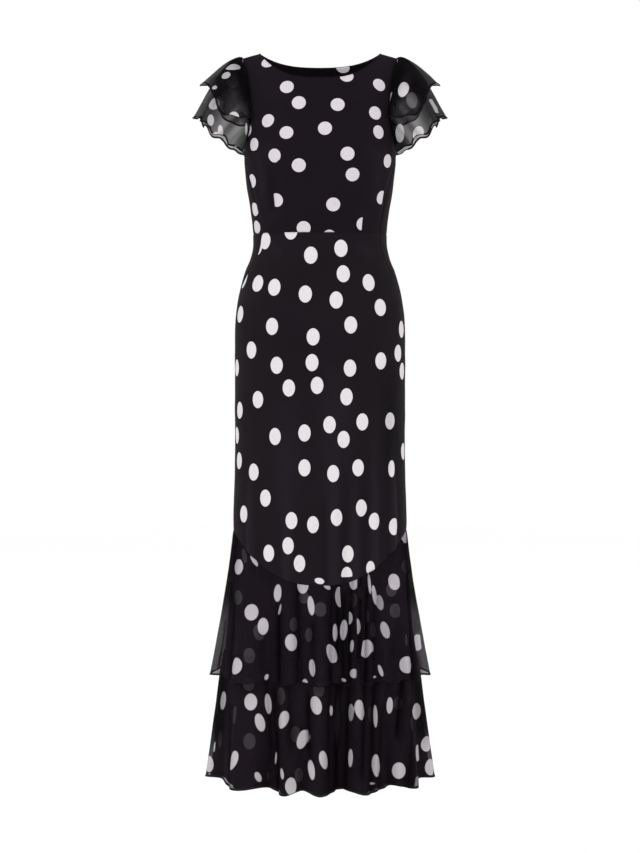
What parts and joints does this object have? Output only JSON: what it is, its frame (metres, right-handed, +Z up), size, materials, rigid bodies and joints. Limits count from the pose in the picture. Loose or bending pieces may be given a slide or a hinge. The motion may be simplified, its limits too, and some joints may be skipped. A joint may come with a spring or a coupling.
{
  "type": "midi dress",
  "caption": "Hollow worn-form dress with a fitted darted bodice, straight skirt, gathered ruffle tiers and fluttering double sleeves; its zip pull swings.",
  "frame": {"origin": "on the centre line midway between the two neck points, at the top of the shoulders, where the wearer carries the dress", "axes": "+Z up the wearer; -Y is the dress's front; +X is the wearer's left"},
  "size_m": [0.4618, 0.3276, 1.3441],
  "materials": {
    "crepe": "black woven crepe printed with scattered off-white round dots",
    "chiffon": "sheer black chiffon printed with scattered off-white round dots",
    "zip_metal": "black enamelled zip hardware"
  },
  "bodies": {
    "dress": {"bodice_front": "crepe", "bodice_back_left": "crepe", "bodice_back_right": "crepe", "skirt_front": "crepe", "skirt_back_left": "crepe", "skirt_back_right": "crepe", "underskirt_front": "crepe", "underskirt_back": "crepe", "upper_tier_front": "chiffon", "upper_tier_back": "chiffon", "lower_tier_front": "chiffon", "lower_tier_back": "chiffon", "sleeve_left": "chiffon", "sleeve_right": "chiffon", "sleeve_frill_left": "chiffon", "sleeve_frill_right": "chiffon", "zip_slider": "zip_metal"},
    "zip_pull": {"zip_pull": "zip_metal"}
  },
  "joints": [
    {"name": "zip_pull_swing", "type": "hinge", "parent": "dress", "child": "zip_pull", "pos_m": [0, 0.06863, -0.02797], "axis": [1, 0, 0], "range_deg": [0, 170]}
  ]
}
